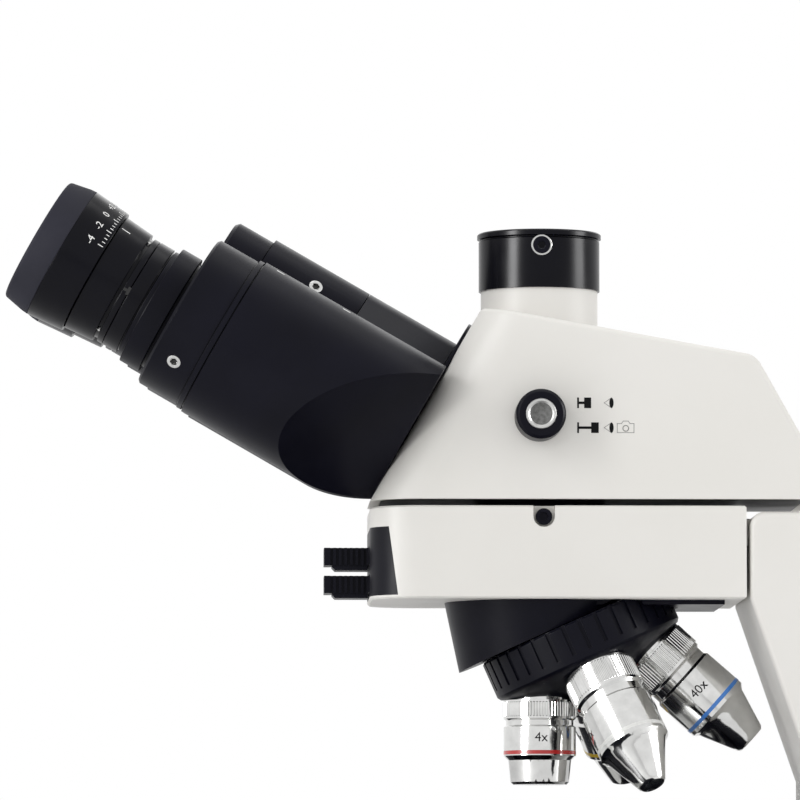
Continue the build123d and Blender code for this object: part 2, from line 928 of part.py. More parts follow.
def arm_casting():
    """White hollow arm with a rounded back, the boss that carries the block and the drive's bore."""
    arm = side_plate(arm_outline(0, deck_z), arm_half_width)
    across = arm.edges().filter_by(Axis.Y).group_by(Axis.Z)[-1].sort_by(Axis.X)
    arm = fillet(across[-1], arm_corner)
    across = arm.edges().filter_by(Axis.Y).group_by(Axis.Z)[-1].sort_by(Axis.X)
    arm = fillet(across[0], arm_nose_radius)
    rims = arm.faces().filter_by(Axis.Y).edges().filter_by(lambda e: e.center().Z > deck_z + 1)
    arm = fillet(rims, edge_radius)
    room = side_plate(arm_outline(arm_wall, deck_z), arm_half_width - arm_wall)
    across = room.edges().filter_by(Axis.Y).group_by(Axis.Z)[-1].sort_by(Axis.X)
    room = fillet(across[-1], arm_corner - arm_wall)
    arm = arm - room
    boss_top = head_z - dovetail_depth
    arm = arm + block(
        block_rear, block_rear + joint_gap + arm_wall,
        -boss_half_width, boss_half_width, boss_top - boss_height, boss_top,
    )
    bore = outward(focus_axis_x, 0, focus_axis_z) * Cylinder(
        coarse_shaft_radius + fit_gap, 2 * arm_half_width + 1
    )
    return arm - bore


def base_form(inset, low, roof):
    """Plan of the base carried up to its sloping deck."""
    points = [
        (-base_front, -base_front_half), (-base_front + base_taper_length, -base_half_width),
        (focus_axis_x, -base_half_width), (base_rear, -base_rear_half),
        (base_rear, base_rear_half), (focus_axis_x, base_half_width),
        (-base_front + base_taper_length, base_half_width), (-base_front, base_front_half),
    ]
    plan = fillet(make_face(Polyline(points, close=True)).vertices(), base_corner)
    plan = offset(plan, -inset) if inset else plan
    form = Pos(0, 0, low) * extrude(plan, deck_z - low)
    deck = side_plate([
        (-base_front, low),
        (-base_front, deck_z - roof - base_slope_drop),
        (-lamp_radius, deck_z - roof),
        (base_rear, deck_z - roof),
        (base_rear, low),
    ], base_half_width)
    return form & deck


def knob_pocket():
    """Frame of the brightness knob's pocket, z out of the base's right side."""
    return outward(light_knob_x, -base_half_width, control_z)


def base_casting():
    """White hollow base, open below, with a knob pocket and two openings at the back."""
    body = base_form(0, foot_height, 0)
    rim = [e for e in body.edges() if e.center().Z > deck_z - base_slope_drop - 1]
    body = fillet(rim, base_edge)
    cavity = base_form(base_wall, foot_height, base_roof)
    pocket_depth = light_knob_width + 2
    cup = column(light_knob_radius + 2 * base_wall, -pocket_depth - base_wall, -base_wall)
    body = body - (cavity - knob_pocket() * cup)
    body = body - knob_pocket() * column(light_knob_radius + base_wall, -pocket_depth, 1)
    half_switch = switch_height / 2 + 1.6
    body = body - block(
        base_rear - base_wall - 1, base_rear + 1,
        switch_y - switch_width / 2 - seat_gap, switch_y + switch_width / 2 + seat_gap,
        control_z - half_switch, control_z + half_switch,
    )
    body = body - block(
        base_rear - base_wall - 1, base_rear + 1,
        -switch_y - inlet_width / 2, -switch_y + inlet_width / 2,
        control_z - inlet_height / 2, control_z + inlet_height / 2,
    )
    return body


def base_plate():
    """Steel plate that closes the base from below."""
    plate = base_form(base_wall + seat_gap, foot_height, base_roof)
    return plate & block(
        -base_front, base_rear, -base_half_width, base_half_width,
        foot_height, foot_height + plate_thickness,
    )


def rubber_feet():
    """Four round feet under the plate."""
    feet = []
    for x in (-base_front + 3 * foot_radius, base_rear - 3 * foot_radius):
        for side in (-1, 1):
            y = side * (base_rear_half - 2 * foot_radius)
            feet.append(Pos(x, y, 0) * spun([
                (0, 0), (foot_radius - 1, 0), (foot_radius, 1), (foot_radius, foot_height), (0, foot_height)
            ]))
    return group(*feet)


def field_lens_mount():
    """Round housing of the field lens on the deck."""
    top = deck_z + lamp_height
    return spun([
        (0, deck_z),
        (lamp_radius, deck_z),
        (lamp_radius - 2, top - 1),
        (lamp_radius - 3, top),
        (field_lens_radius, top),
        (field_lens_radius, top - lens_thickness),
        (0, top - lens_thickness),
    ])


def field_lens():
    """Domed lens that lights the condenser."""
    top = deck_z + lamp_height
    lens = column(field_lens_radius, top - lens_thickness, top)
    return fillet(lens.edges().group_by(Axis.Z)[-1], lens_thickness / 3)


def mains_inlet():
    """Inlet for the mains lead: an open box with three flat pins."""
    low = control_z - inlet_height / 2
    high = control_z + inlet_height / 2
    left = -switch_y - inlet_width / 2
    right = -switch_y + inlet_width / 2
    body = block(base_rear - inlet_depth, base_rear, left, right, low, high)
    body = body - block(base_rear - inlet_depth + 3, base_rear + 1, left + 2, right - 2, low + 2, high - 2)
    pins = []
    for y, z in ((-7, -2), (0, 2), (7, -2)):
        pins.append(block(
            base_rear - inlet_depth + 3, base_rear - 5,
            y - switch_y - 1, y - switch_y + 1, control_z + z - 2, control_z + z + 2,
        ))
    return group(body, *pins)


def power_switch():
    """Rocker with a shallow hollow in its face."""
    rocker = block(
        base_rear - switch_depth, base_rear - seat_gap,
        switch_y - switch_width / 2, switch_y + switch_width / 2,
        control_z - switch_height / 2, control_z + switch_height / 2,
    )
    hollow_radius = switch_height * 1.5
    hollow = Pos(base_rear - seat_gap + hollow_radius - 1.2, switch_y, control_z) * Rot(90, 0, 0)
    return rocker - hollow * Cylinder(hollow_radius, switch_width + 1)


def brightness_knob():
    """Knob that stands on a spindle in the floor of its pocket."""
    floor = -light_knob_width - 2
    knob = column(light_knob_radius, floor + 1, floor + 1 + light_knob_width)
    knob = fillet(knob.edges().group_by(Axis.Z)[-1], 1)
    spindle = column(light_knob_radius / 3, floor, floor + 1)
    return knob_pocket() * (knob + spindle)


# Focus drive

def focus_rail():
    """Upright slideway on the front of the arm."""
    top = floor_top - seat_gap
    return block(rail_front, arm_front, -rail_half_width, rail_half_width, top - rail_height, top)


def drive_knobs(radius, width, start, shaft, bore):
    """Pair of round knobs on one shaft across the arm."""
    parts = outward(focus_axis_x, 0, focus_axis_z) * Cylinder(shaft, 2 * start)
    for side in (-1, 1):
        place = outward(focus_axis_x, side * start, focus_axis_z, side)
        knob = column(radius, 0, width)
        knob = fillet(knob.edges().group_by(Axis.Z)[-1], 1.5)
        parts = parts + place * knob
    if bore:
        length = 2 * (start + width) + 1
        parts = parts - outward(focus_axis_x, 0, focus_axis_z) * Cylinder(bore, length)
    return parts


def coarse_knobs():
    """Large knobs of the coarse drive on their hollow shaft."""
    return drive_knobs(
        coarse_radius, coarse_width, arm_half_width + seat_gap,
        coarse_shaft_radius, fine_shaft_radius + fit_gap,
    )


def fine_knobs():
    """Small knobs of the fine drive, whose shaft runs inside the coarse one."""
    start = arm_half_width + 2 * seat_gap + coarse_width
    return drive_knobs(fine_radius, fine_width, start, fine_shaft_radius, 0)


# Stage

def stage_bracket():
    """Carriage round the rail, with the stage's floor and the condenser's rail in one casting."""
    half = bracket_half_width
    body = block(bracket_front, bracket_rear, -half, half, bracket_z, floor_top)
    inner = rail_half_width + seat_gap
    for side in (-1, 1):
        body = body + block(
            bracket_rear, arm_front - seat_gap,
            min(side * inner, side * half), max(side * inner, side * half),
            bracket_z, floor_z,
        )
    floor = block(-floor_front, bracket_rear, -floor_half_width, floor_half_width, floor_z, floor_top)
    floor = fillet(floor.edges().filter_by(Axis.Z).sort_by(Axis.X)[:2], condenser_window)
    rail_half = condenser_rail_half
    rail = block(condenser_rail_x, bracket_front, -rail_half, rail_half, bracket_z, floor_z)
    return body + floor + rail - column(condenser_window, floor_z, floor_top)


def stage_plate():
    """Moving plate with its long window, the holder's guide and the shaft of the hanging knobs."""
    half = stage_half_width
    plate = block(-stage_front, stage_rear, -half, half, plate_z, stage_z)
    plate = fillet(plate.edges().filter_by(Axis.Z), stage_corner)
    window = SlotOverall(2 * (condenser_window + stage_travel), 2 * condenser_window)
    plate = plate - Pos(0, 0, plate_z) * extrude(window, stage_thickness)
    guide = block(
        guide_x, guide_x + guide_width, -half + stage_corner, half - stage_corner,
        stage_z, stage_z + guide_height,
    )
    low = plate_z - 2 * (stage_knob_width + seat_gap) - 2 * stage_floor
    shaft = column(stage_shaft_radius, low, plate_z, stage_knob_x, -stage_knob_y)
    return plate + guide + shaft


def stage_knob(index):
    """Hanging knob on the stage's shaft: 0 is the upper one."""
    radius = lower_knob_radius if index else upper_knob_radius
    top = plate_z - stage_floor - index * (stage_knob_width + seat_gap)
    knob = column(radius, top - stage_knob_width, top, stage_knob_x, -stage_knob_y)
    knob = fillet(knob.edges().group_by(Axis.Z)[0], 1)
    bore = column(
        stage_shaft_radius + fit_gap, top - stage_knob_width, top, stage_knob_x, -stage_knob_y
    )
    return knob - bore


def slide_holder():
    """Slide frame: back bar, fixed finger, clip ear, and the carriage that hooks over the guide."""
    low = stage_z + seat_gap
    top = low + holder_thickness
    half_slide = slide_length / 2
    back = slide_width / 2
    bar = block(back, back + holder_bar, -half_slide - 12, half_slide + finger_width, low, top)
    finger = block(-back, back, half_slide, half_slide + finger_width, low, top)
    carriage = block(back, guide_x - seat_gap, -20, 20, low, top)
    hook_low = stage_z + guide_height + seat_gap
    riser = block(guide_x - seat_gap - 4, guide_x - seat_gap, -20, 20, low, hook_low + 3)
    cover = block(guide_x - seat_gap, guide_x + guide_width, -20, 20, hook_low, hook_low + 3)
    body = bar + finger + carriage + riser + cover
    pin = column(2, low, top + 3, *clip_pivot())
    return body + pin


def clip_pivot():
    """Place of the clip's pivot on the holder."""
    return (slide_width / 2 + holder_bar / 2, -slide_length / 2 - 8)


def specimen_clip():
    """Curved sprung lever that holds the slide against the finger."""
    low = stage_z + 2 * seat_gap + holder_thickness
    pivot = Pos(*clip_pivot())
    tip = Pos(-slide_width / 4, -slide_length / 2 - 2.5)
    knee = Pos(slide_width / 4, -slide_length / 2 - 9)
    lever = make_hull([*(pivot * Circle(4)).edges(), *(knee * Circle(3)).edges()])
    arm = make_hull([*(knee * Circle(3)).edges(), *(tip * Circle(2)).edges()])
    body = extrude(lever + arm, 2)
    return Pos(0, 0, low) * body - column(2 + fit_gap, low, low + 3, *clip_pivot())


# Condenser

def condenser_carrier():
    """Ring that holds the condenser, with its arm and the cheeks on the rail."""
    outer = condenser_radius + carrier_wall
    inner = condenser_rail_half + seat_gap
    reach = condenser_rail_x - seat_gap
    body = column(outer, carrier_z, carrier_top)
    body = body + block(0, reach, -condenser_rail_half, condenser_rail_half, carrier_z, carrier_top)
    outside = inner + carrier_wall
    body = body + block(reach - carrier_wall, reach, -outside, outside, carrier_z, carrier_top)
    for side in (-1, 1):
        body = body + block(
            reach, bracket_front - seat_gap,
            min(side * inner, side * outside), max(side * inner, side * outside),
            carrier_z, carrier_top,
        )
    return body - column(condenser_radius, carrier_z, carrier_top)


def condenser():
    """Black condenser: flange on the carrier, tapered tip under the stage, neck for the iris ring."""
    outer = condenser_radius + carrier_wall / 2
    tip = condenser_tip_radius
    neck_low = condenser_z - iris_ring_height - 2 * seat_gap
    return spun([
        (0, neck_low - 2),
        (iris_neck_radius + 3, neck_low - 2),
        (iris_neck_radius + 3, neck_low),
        (iris_neck_radius, neck_low),
        (iris_neck_radius, condenser_z),
        (condenser_radius, condenser_z),
        (condenser_radius, carrier_top),
        (outer, carrier_top),
        (outer, flange_top),
        (tip, flange_top),
        (tip, stage_z - 3),
        (tip - 3, stage_z - 1),
        (0, stage_z - 1),
    ])


def iris_lever():
    """Ring on the condenser's neck with its little handle."""
    low = condenser_z - seat_gap - iris_ring_height
    high = condenser_z - seat_gap
    outer = iris_neck_radius + iris_ring_width
    ring = tube(outer, iris_neck_radius + fit_gap, low, high)
    handle = Rot(0, 0, 240) * block(outer - 1, outer + iris_handle_length, -2, 2, low + 1, high - 1)
    return ring + handle


def condenser_knob():
    """Knob of the condenser's drive, on the left of the bracket."""
    place = outward(bracket_front + 4, bracket_half_width + seat_gap, bracket_z + 20, 1)
    knob = column(condenser_knob_radius, 0, condenser_knob_width)
    return place * fillet(knob.edges().group_by(Axis.Z)[-1], 1)


def sub_parts():
    """Every sub-part by name."""
    parts = {
        "base_casting": base_casting(),
        "base_plate": base_plate(),
        "rubber_feet": rubber_feet(),
        "arm_casting": arm_casting(),
        "nosepiece_block": nosepiece_block(),
        "front_panel": front_panel(),
        "head_lock_screw": head_lock_screw(),
        "nosepiece_base": nosepiece_base(),
        "field_lens_mount": field_lens_mount(),
        "field_lens": field_lens(),
        "mains_inlet": mains_inlet(),
        "focus_rail": focus_rail(),
        "head_housing": head_housing(),
        "head_base_plate": head_base_plate(),
        "port_collar": port_collar(),
        "port_lock_screw": port_lock_screw(),
        "hinge_shaft": hinge_shaft(),
        "ipd_dial": ipd_dial(),
        "deflecting_prism": deflecting_prism(),
        "relay_lens": relay_lens(),
        "splitter_rod": splitter_rod(),
        "splitter_knob": splitter_knob(),
        "splitter_prism": splitter_prism(),
        "upper_slider": slider(0),
        "lower_slider": slider(1),
        "turret": turret(),
        "objective_4x": objective(0, parfocal - working_4x, tip_4x),
        "objective_10x": objective(1, parfocal - working_10x, tip_10x),
        "objective_40x": objective(2, parfocal - working_40x, tip_40x),
        "objective_100x": objective(3, parfocal - working_100x, tip_100x),
        "coarse_knobs": coarse_knobs(),
        "fine_knobs": fine_knobs(),
        "stage_bracket": stage_bracket(),
        "stage_plate": stage_plate(),
        "slide_holder": slide_holder(),
        "specimen_clip": specimen_clip(),
        "stage_knob_upper": stage_knob(0),
        "stage_knob_lower": stage_knob(1),
        "condenser_carrier": condenser_carrier(),
        "condenser": condenser(),
        "iris_lever": iris_lever(),
        "condenser_knob": condenser_knob(),
        "brightness_knob": brightness_knob(),
        "power_switch": power_switch(),
    }
    for word, side in (("right", 1), ("left", -1)):
        parts[word + "_tube_housing"] = tube_housing(side)
        parts[word + "_tube_cap"] = tube_cap(side)
        parts[word + "_grub_screws"] = grub_screws(side)
        parts[word + "_eyepiece_sleeve"] = eyepiece_sleeve(side)
        parts[word + "_eyepiece_barrel"] = eyepiece_barrel(side)
        parts[word + "_diopter_ring"] = diopter_ring(side)
        parts[word + "_eyecup"] = eyecup(side)
        parts[word + "_eye_lens"] = eye_lens(side)
    return parts


os.makedirs("parts", exist_ok=True)
for name, shape in sub_parts().items():
    export_step(shape, f"parts/{name}.step")
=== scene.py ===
"""Looks of the trinocular microscope: materials, engraved scales, knurls, lens details, light and camera."""
import json
import math

import bmesh
import bpy
from mathutils import Matrix, Vector


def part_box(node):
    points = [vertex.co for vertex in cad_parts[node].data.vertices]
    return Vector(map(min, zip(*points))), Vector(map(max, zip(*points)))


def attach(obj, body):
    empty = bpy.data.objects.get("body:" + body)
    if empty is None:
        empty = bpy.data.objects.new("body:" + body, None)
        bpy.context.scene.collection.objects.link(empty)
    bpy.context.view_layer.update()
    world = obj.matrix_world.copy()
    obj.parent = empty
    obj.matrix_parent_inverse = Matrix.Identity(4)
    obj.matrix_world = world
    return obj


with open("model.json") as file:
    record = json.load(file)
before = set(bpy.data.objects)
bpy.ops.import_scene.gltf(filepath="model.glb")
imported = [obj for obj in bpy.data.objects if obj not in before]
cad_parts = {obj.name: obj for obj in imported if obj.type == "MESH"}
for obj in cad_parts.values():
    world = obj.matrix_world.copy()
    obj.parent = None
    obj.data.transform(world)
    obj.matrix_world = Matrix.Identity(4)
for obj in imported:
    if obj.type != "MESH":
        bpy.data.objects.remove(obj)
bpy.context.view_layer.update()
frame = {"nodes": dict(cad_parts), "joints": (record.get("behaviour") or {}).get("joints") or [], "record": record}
nodes = frame["nodes"]
joints = {joint["name"]: joint for joint in frame["joints"]}
MM = 0.001

# Materials

def linear(red, green, blue):
    """Linear colour of an sRGB colour given from 0 to 255."""
    channels = []
    for value in (red, green, blue):
        share = value / 255
        channels.append(share / 12.92 if share <= 0.04045 else ((share + 0.055) / 1.055) ** 2.4)
    return (*channels, 1.0)


class Surface:
    """A procedural material on the object's own coordinates."""

    def __init__(self, name, color, roughness, metallic=0.0, specular=0.5):
        self.material = bpy.data.materials.new(name)
        self.material.use_nodes = True
        self.tree = self.material.node_tree
        self.shader = self.tree.nodes["Principled BSDF"]
        self.shader.inputs["Metallic"].default_value = metallic
        self.shader.inputs["Specular IOR Level"].default_value = specular
        self.color = color
        self.place = self.tree.nodes.new("ShaderNodeTexCoord").outputs["Object"]
        self.vary_roughness(*roughness)
        self.shader.inputs["Base Color"].default_value = color
        self.height = None

    def noise(self, scale, detail=3.0, stretch=(1, 1, 1)):
        """Noise with this many features to a metre, stretched along the axes."""
        mapping = self.tree.nodes.new("ShaderNodeMapping")
        mapping.inputs["Scale"].default_value = stretch
        texture = self.tree.nodes.new("ShaderNodeTexNoise")
        texture.inputs["Scale"].default_value = scale
        texture.inputs["Detail"].default_value = detail
        self.tree.links.new(self.place, mapping.inputs["Vector"])
        self.tree.links.new(mapping.outputs["Vector"], texture.inputs["Vector"])
        return texture.outputs["Fac"]

    def ranged(self, value, low, high):
        """The value of a texture carried to a range."""
        node = self.tree.nodes.new("ShaderNodeMapRange")
        node.inputs["From Min"].default_value = 0.3
        node.inputs["From Max"].default_value = 0.7
        node.inputs["To Min"].default_value = low
        node.inputs["To Max"].default_value = high
        self.tree.links.new(value, node.inputs["Value"])
        return node.outputs["Result"]

    def vary_roughness(self, low, high, scale=60.0):
        """Roughness that drifts between two values over the surface."""
        value = self.ranged(self.noise(scale, 4.0), low, high)
        self.tree.links.new(value, self.shader.inputs["Roughness"])

    def vary_color(self, second, scale, sharp=False):
        """Colour that drifts from the first one towards a second one."""
        mix = self.tree.nodes.new("ShaderNodeMix")
        mix.data_type = "RGBA"
        mix.inputs["A"].default_value = self.color
        mix.inputs["B"].default_value = second
        factor = self.ranged(self.noise(scale, 6.0 if sharp else 3.0), 0.0, 1.0)
        self.tree.links.new(factor, mix.inputs["Factor"])
        self.tree.links.new(mix.outputs["Result"], self.shader.inputs["Base Color"])
        return self

    def grain(self, scale, depth, detail=3.0, stretch=(1, 1, 1)):
        """Fine relief of that depth in metres, added over any relief before it."""
        bump = self.tree.nodes.new("ShaderNodeBump")
        bump.inputs["Distance"].default_value = depth
        bump.inputs["Strength"].default_value = 1.0
        self.tree.links.new(self.noise(scale, detail, stretch), bump.inputs["Height"])
        if self.height is not None:
            self.tree.links.new(self.height, bump.inputs["Normal"])
        self.height = bump.outputs["Normal"]
        self.tree.links.new(self.height, self.shader.inputs["Normal"])
        return self

    def coat(self, weight, roughness, ior=1.5):
        """Clear layer over the surface."""
        self.shader.inputs["Coat Weight"].default_value = weight
        self.shader.inputs["Coat Roughness"].default_value = roughness
        self.shader.inputs["Coat IOR"].default_value = ior
        return self

    def clear(self, ior):
        """Glass."""
        self.shader.inputs["Transmission Weight"].default_value = 1.0
        self.shader.inputs["IOR"].default_value = ior
        return self


def paint(name, color, second):
    """Satin powder paint with a very fine orange peel."""
    surface = Surface(name, color, (0.40, 0.50), specular=0.16).vary_color(second, 18.0)
    return surface.grain(420.0, 0.000012).grain(2600.0, 0.000004).coat(0.03, 0.3).material


def black(name, level, roughness, specular, grain_depth, tint):
    """Black metal or plastic: level is its linear brightness."""
    color = (level, level, level * tint, 1.0)
    second = (level * 1.5, level * 1.5, level * 1.5 * tint, 1.0)
    surface = Surface(name, color, roughness, specular=specular).vary_color(second, 35.0)
    return surface.grain(5200.0, grain_depth)


def metal(name, level, roughness, stretch):
    """Bright metal with the fine lines that the tool left."""
    color = (level, level, level * 0.985, 1.0)
    second = tuple(0.86 * channel for channel in color[:3]) + (1.0,)
    surface = Surface(name, color, roughness, metallic=1.0).vary_color(second, 240.0)
    return surface.grain(900.0, 0.000004, 2.0, stretch).material


def glass(name, color, coat_ior):
    """Coated lens glass."""
    surface = Surface(name, color, (0.01, 0.03)).clear(1.5)
    return surface.grain(300.0, 0.000001).coat(0.6, 0.02, coat_ior).material


white_paint = paint("white_paint", linear(226, 224, 220), linear(222, 220, 215))
black_satin = black("black_satin", 0.0032, (0.30, 0.40), 0.09, 0.0000035, 2.1).material
black_gloss = black("black_gloss", 0.0014, (0.20, 0.27), 0.13, 0.000001, 2.4).material
black_plastic = black("black_plastic", 0.0068, (0.36, 0.46), 0.09, 0.000008, 1.5).material
rubber = black("rubber", 0.013, (0.72, 0.86), 0.18, 0.000012, 1.6).grain(900.0, 0.00001).material
steel = metal("steel", 0.56, (0.30, 0.42), (1, 1, 6))
chrome = metal("chrome", 0.74, (0.07, 0.14), (1, 1, 1))
zinc = metal("zinc_plate", 0.42, (0.40, 0.58), (5, 1, 1))
lens_glass = glass("lens_glass", (0.86, 0.92, 0.97, 1.0), 1.8)
white_print = Surface("white_print", linear(232, 232, 230), (0.42, 0.5)).grain(3000.0, 0.000002).material
black_print = Surface("black_print", linear(12, 12, 14), (0.45, 0.55), specular=0.1)
black_print = black_print.grain(3000.0, 0.000002).material
grey_print = Surface("grey_print", linear(150, 150, 148), (0.45, 0.55)).grain(3000.0, 0.000002).material
# Painted shade: near-black colour that stands in for the shade inside screw sockets and the lower ring's notch.
painted_hole_shade = Surface("painted_hole_shade", (0.002, 0.002, 0.002, 1.0), (0.8, 0.9)).grain(900.0, 0.00001).material


def enamel(name, color):
    """Coloured ring lacquer."""
    second = tuple(0.8 * channel for channel in color[:3]) + (1.0,)
    return Surface(name, color, (0.25, 0.35)).vary_color(second, 120.0).coat(0.5, 0.1).material


finish = {
    "white_paint": white_paint,
    "black_satin": black_satin,
    "black_gloss": black_gloss,
    "black_plastic": black_plastic,
    "rubber": rubber,
    "steel": steel,
    "chrome": chrome,
    "glass": lens_glass,
    "plate_steel": zinc,
}


def shade(piece, width, segments=2):
    """Small rounded edges, flat faces that stay flat and smooth curves."""
    if width:
        bevel = piece.modifiers.new("edges", "BEVEL")
        bevel.width = width
        bevel.segments = segments
        bevel.limit_method = "ANGLE"
        bevel.angle_limit = SHARP
        bevel.use_clamp_overlap = True
    split = piece.modifiers.new("split", "EDGE_SPLIT")
    split.split_angle = SHARP
    weighted = piece.modifiers.new("weighted", "WEIGHTED_NORMAL")
    weighted.mode = "FACE_AREA"
    weighted.weight = 100


# Parts given black satin in place of their finish: head_base_plate as painted shade that darkens the seam between
# head and block, splitter_knob as its own black colour.
SEAM_SHADE_AND_OWN_BLACK = {"head_base_plate": black_satin, "splitter_knob": black_satin}


def dress(node, width):
    """Gives a CAD node its finish and small rounded edges."""
    piece = nodes[node]
    piece.data.materials.clear()
    piece.data.materials.append(SEAM_SHADE_AND_OWN_BLACK.get(node, finish[slot_of[node]]))
    for polygon in piece.data.polygons:
        polygon.use_smooth = True
    if "custom_normal" in piece.data.attributes:
        piece.data.attributes.remove(piece.data.attributes["custom_normal"])
    weld = piece.modifiers.new("weld", "WELD")
    weld.merge_threshold = 0.002 * MM
    shade(piece, width)


SHARP = math.radians(32)
slot_of = {part["node"]: part["material_slot"] for part in frame["record"]["subparts"]}
EDGE = {"white_paint": 0.6 * MM, "rubber": 0.3 * MM, "glass": 0.2 * MM, "plate_steel": 0.2 * MM}
for node in nodes:
    dress(node, EDGE.get(slot_of[node], 0.25 * MM))


# Frames and mesh helpers

def frame_at(origin, z, x):
    """Matrix with its z along one direction and its x as near as can be to another."""
    z = Vector(z).normalized()
    y = z.cross(Vector(x)).normalized()
    x = y.cross(z)
    matrix = Matrix((x, y, z)).transposed().to_4x4()
    matrix.translation = Vector(origin)
    return matrix


def turned(matrix, angle, radius, height, lean=0.0):
    """Frame on a cylinder or cone about the matrix's z: its z points outward and its x runs round."""
    around = matrix @ Matrix.Rotation(angle, 4, "Z")
    origin = around @ Vector((radius, 0, height))
    outward = around.to_3x3() @ Vector((math.cos(lean), 0, -math.sin(lean)))
    round_way = around.to_3x3() @ Vector((0, 1, 0))
    return frame_at(origin, outward, round_way)


class Piece:
    """A mesh that is put together in metres in the object's own frame."""

    def __init__(self, name, body, material, slot=None):
        self.name = name
        self.body = body
        self.material = material
        self.slot = slot
        self.mesh = bmesh.new()

    def add(self, vertices, faces, matrix):
        """Adds a small mesh through a matrix."""
        made = [self.mesh.verts.new(matrix @ Vector(v)) for v in vertices]
        for face in faces:
            self.mesh.faces.new([made[i] for i in face])

    def slab(self, matrix, x0, x1, y0, y1, depth):
        """Thin plate that stands proud of the matrix's xy plane, from a little below it."""
        self.prism(matrix, [(x0, y0), (x1, y0), (x1, y1), (x0, y1)], -depth, depth)

    def prism(self, matrix, outline, low, high):
        """Outline carried between two heights."""
        count = len(outline)
        vertices = [(x, y, z) for z in (low, high) for x, y in outline]
        sides = [(i, (i + 1) % count, count + (i + 1) % count, count + i) for i in range(count)]
        faces = [tuple(reversed(range(count))), tuple(range(count, 2 * count)), *sides]
        self.add(vertices, faces, matrix)

    def lathe(self, matrix, profile, steps=96, closed=True):
        """Ring or solid turned about the matrix's z from (radius, z) points."""
        rows = len(profile)
        vertices, faces = [], []
        for step in range(steps):
            angle = 2 * math.pi * step / steps
            for radius, z in profile:
                vertices.append((radius * math.cos(angle), radius * math.sin(angle), z))
        for step in range(steps):
            nxt = (step + 1) % steps
            for row in range(rows if closed else rows - 1):
                up = (row + 1) % rows
                faces.append((step * rows + row, nxt * rows + row, nxt * rows + up, step * rows + up))
        self.add(vertices, faces, matrix)

    def text(self, matrix, words, size, depth):
        """Raised or printed generic figures, centred on the matrix's origin."""
        curve = bpy.data.curves.new("figures", "FONT")
        curve.body = words
        curve.size = size
        curve.align_x = "CENTER"
        curve.align_y = "CENTER"
        curve.extrude = depth
        curve.resolution_u = 3
        holder = bpy.data.objects.new("figures", curve)
        mesh = bpy.data.meshes.new_from_object(holder)
        mesh.transform(matrix)
        self.mesh.from_mesh(mesh)
        bpy.data.objects.remove(holder)
        bpy.data.meshes.remove(mesh)
        bpy.data.curves.remove(curve)

    def done(self, bevel=0.0, flat=False):
        """Turns what was added into an object that rides on its body."""
        bmesh.ops.remove_doubles(self.mesh, verts=self.mesh.verts, dist=0.0000005)
        bmesh.ops.recalc_face_normals(self.mesh, faces=self.mesh.faces)
        mesh = bpy.data.meshes.new(self.name)
        self.mesh.to_mesh(mesh)
        self.mesh.free()
        mesh.materials.append(self.material)
        piece = bpy.data.objects.new(self.name, mesh)
        bpy.context.scene.collection.objects.link(piece)
        if not flat:
            for polygon in mesh.polygons:
                polygon.use_smooth = True
            shade(piece, bevel)
        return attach(piece, self.body)


def in_mm(points):
    """Points given in millimetres, in metres."""
    return [tuple(MM * value for value in point) for point in points]


def ring_profile(inner, outer, low, high, ease):
    """Section of a ring with eased outer corners."""
    return [
        (inner, low), (outer - ease, low), (outer, low + ease),
        (outer, high - ease), (outer - ease, high), (inner, high),
    ]


def knurled(piece, matrix, inner, outer, low, high, teeth, depth):
    """Ring with straight teeth along its axis and chamfered ends."""
    steps = teeth * 4
    rows = [(low, -depth), (low + depth, 0.0), (high - depth, 0.0), (high, -depth)]
    vertices, faces = [], []
    for step in range(steps):
        angle = 2 * math.pi * step / steps
        crest = step % 4 in (1, 2)
        for z, drop in rows:
            radius = outer + (drop if crest else -depth)
            vertices.append((radius * math.cos(angle), radius * math.sin(angle), z))
        for z in (high, low):
            vertices.append((inner * math.cos(angle), inner * math.sin(angle), z))
    count = len(rows) + 2
    for step in range(steps):
        nxt = (step + 1) % steps
        for row in range(count):
            up = (row + 1) % count
            faces.append((step * count + row, nxt * count + row, nxt * count + up, step * count + up))
    piece.add(vertices, faces, matrix)


# Places on the instrument, read from the frame

def local_box(node, matrix):
    """Lowest and highest corner of a CAD node in another frame."""
    back = matrix.inverted()
    places = [back @ vertex.co for vertex in nodes[node].data.vertices]
    low = Vector([min(place[axis] for place in places) for axis in range(3)])
    high = Vector([max(place[axis] for place in places) for axis in range(3)])
    return low, high


def joint_frame(name, x):
    """Frame on a joint, its z along the joint's axis."""
    return frame_at(joints[name]["pos_m"], joints[name]["axis"], x)


USER_RIGHT = (0, -1, 0)
FORWARD = (1, 0, 0)
hinge = joint_frame("right_tube_swing", USER_RIGHT)
eyes = {side: joint_frame(side + "_diopter_turn", USER_RIGHT) for side in ("right", "left")}
turret_axis = joint_frame("turret_turn", USER_RIGHT)
PRINT = 0.04 * MM


def on_side(node, x, z, side=-1):
    """Frame on the side face of a CAD node: z out of the face, x forwards on the user's right."""
    low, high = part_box(node)
    y = low.y if side < 0 else high.y
    return frame_at((x, y, z), (0, side, 0), (-side, 0, 0))


# Head: printed pictograms and the splitter's knob

ROD_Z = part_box("splitter_rod")[0].z / 2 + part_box("splitter_rod")[1].z / 2


